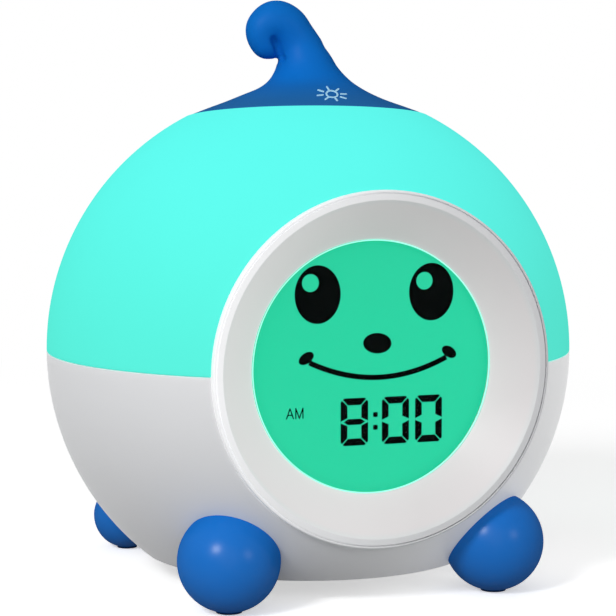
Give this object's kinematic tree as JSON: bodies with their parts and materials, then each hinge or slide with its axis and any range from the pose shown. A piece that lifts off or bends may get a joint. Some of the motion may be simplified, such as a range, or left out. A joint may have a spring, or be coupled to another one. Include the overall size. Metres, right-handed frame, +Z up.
{
  "type": "alarm clock",
  "caption": "Ball-shaped children's alarm clock with a glowing upper dome, a curled stem on top, a round recessed display, ball feet and push buttons on the back.",
  "frame": {"origin": "on the table, under the middle of the ball", "axes": "+Z up; the display looks along -Y; the buttons are on the +Y side; +X is the viewer's right"},
  "size_m": [0.12, 0.096, 0.1311],
  "materials": {
    "shell_white": "satin moulded",
    "dome_teal": "satin translucent, lit from inside",
    "toy_blue": "soft-touch satin",
    "clear_window": "clear polished plastic",
    "display_green": "backlit display",
    "diffuser_white": "matt",
    "dark_plastic": "matt",
    "board_green": "solder mask",
    "board_white": "solder mask",
    "led_body": "clear resin over white",
    "plated_steel": "zinc plated",
    "cone_paper": "pressed pulp",
    "cell_wrap": "shrink sleeve",
    "wire_black": "insulation",
    "wire_red": "insulation",
    "cable_grey": "insulation",
    "pad_rubber": "matt"
  },
  "bodies": {
    "clock": {"lower_housing": "shell_white", "light_dome": "dome_teal", "stem_cap": "toy_blue", "touch_plate": "plated_steel", "touch_wire": "wire_black", "stem_screws": "plated_steel", "front_bezel": "shell_white", "display_lens": "clear_window", "lcd_panel": "display_green", "backlight": "diffuser_white", "lcd_frame": "dark_plastic", "main_board": "board_green", "board_parts": "dark_plastic", "board_screws": "plated_steel", "reflector_tray": "diffuser_white", "led_board": "board_white", "leds": "led_body", "led_screws": "plated_steel", "led_wires": "wire_black", "rear_panel": "shell_white", "button_board": "board_green", "tact_switches": "dark_plastic", "switch_body": "plated_steel", "usb_socket": "plated_steel", "panel_screws": "plated_steel", "speaker_frame": "dark_plastic", "speaker_cone": "cone_paper", "speaker_magnet": "plated_steel", "speaker_wires": "wire_black", "battery": "cell_wrap", "battery_bracket": "diffuser_white", "bracket_screws": "plated_steel", "battery_wires": "wire_red", "board_cable": "cable_grey", "case_screws": "plated_steel", "front_left_foot": "toy_blue", "front_right_foot": "toy_blue", "rear_left_foot": "toy_blue", "rear_right_foot": "toy_blue", "foot_screws": "plated_steel", "foot_pads": "pad_rubber"},
    "alarm_button": {"alarm_button": "toy_blue"},
    "set_button": {"set_button": "toy_blue"},
    "light_button": {"light_button": "toy_blue"},
    "up_button": {"up_button": "toy_blue"},
    "down_button": {"down_button": "toy_blue"},
    "switch_knob": {"switch_knob": "toy_blue"}
  },
  "joints": [
    {"name": "alarm_press", "type": "slide", "parent": "clock", "child": "alarm_button", "axis": [0, -1, 0], "range_m": [0, 0.0005], "stiffness_N_per_m": 400},
    {"name": "set_press", "type": "slide", "parent": "clock", "child": "set_button", "axis": [0, -1, 0], "range_m": [0, 0.0005], "stiffness_N_per_m": 400},
    {"name": "light_press", "type": "slide", "parent": "clock", "child": "light_button", "axis": [0, -1, 0], "range_m": [0, 0.0005], "stiffness_N_per_m": 400},
    {"name": "up_press", "type": "slide", "parent": "clock", "child": "up_button", "axis": [0, -1, 0], "range_m": [0, 0.0005], "stiffness_N_per_m": 400},
    {"name": "down_press", "type": "slide", "parent": "clock", "child": "down_button", "axis": [0, -1, 0], "range_m": [0, 0.0005], "stiffness_N_per_m": 400},
    {"name": "switch_slide", "type": "slide", "parent": "clock", "child": "switch_knob", "axis": [-1, 0, 0], "range_m": [0, 0.0026]}
  ]
}
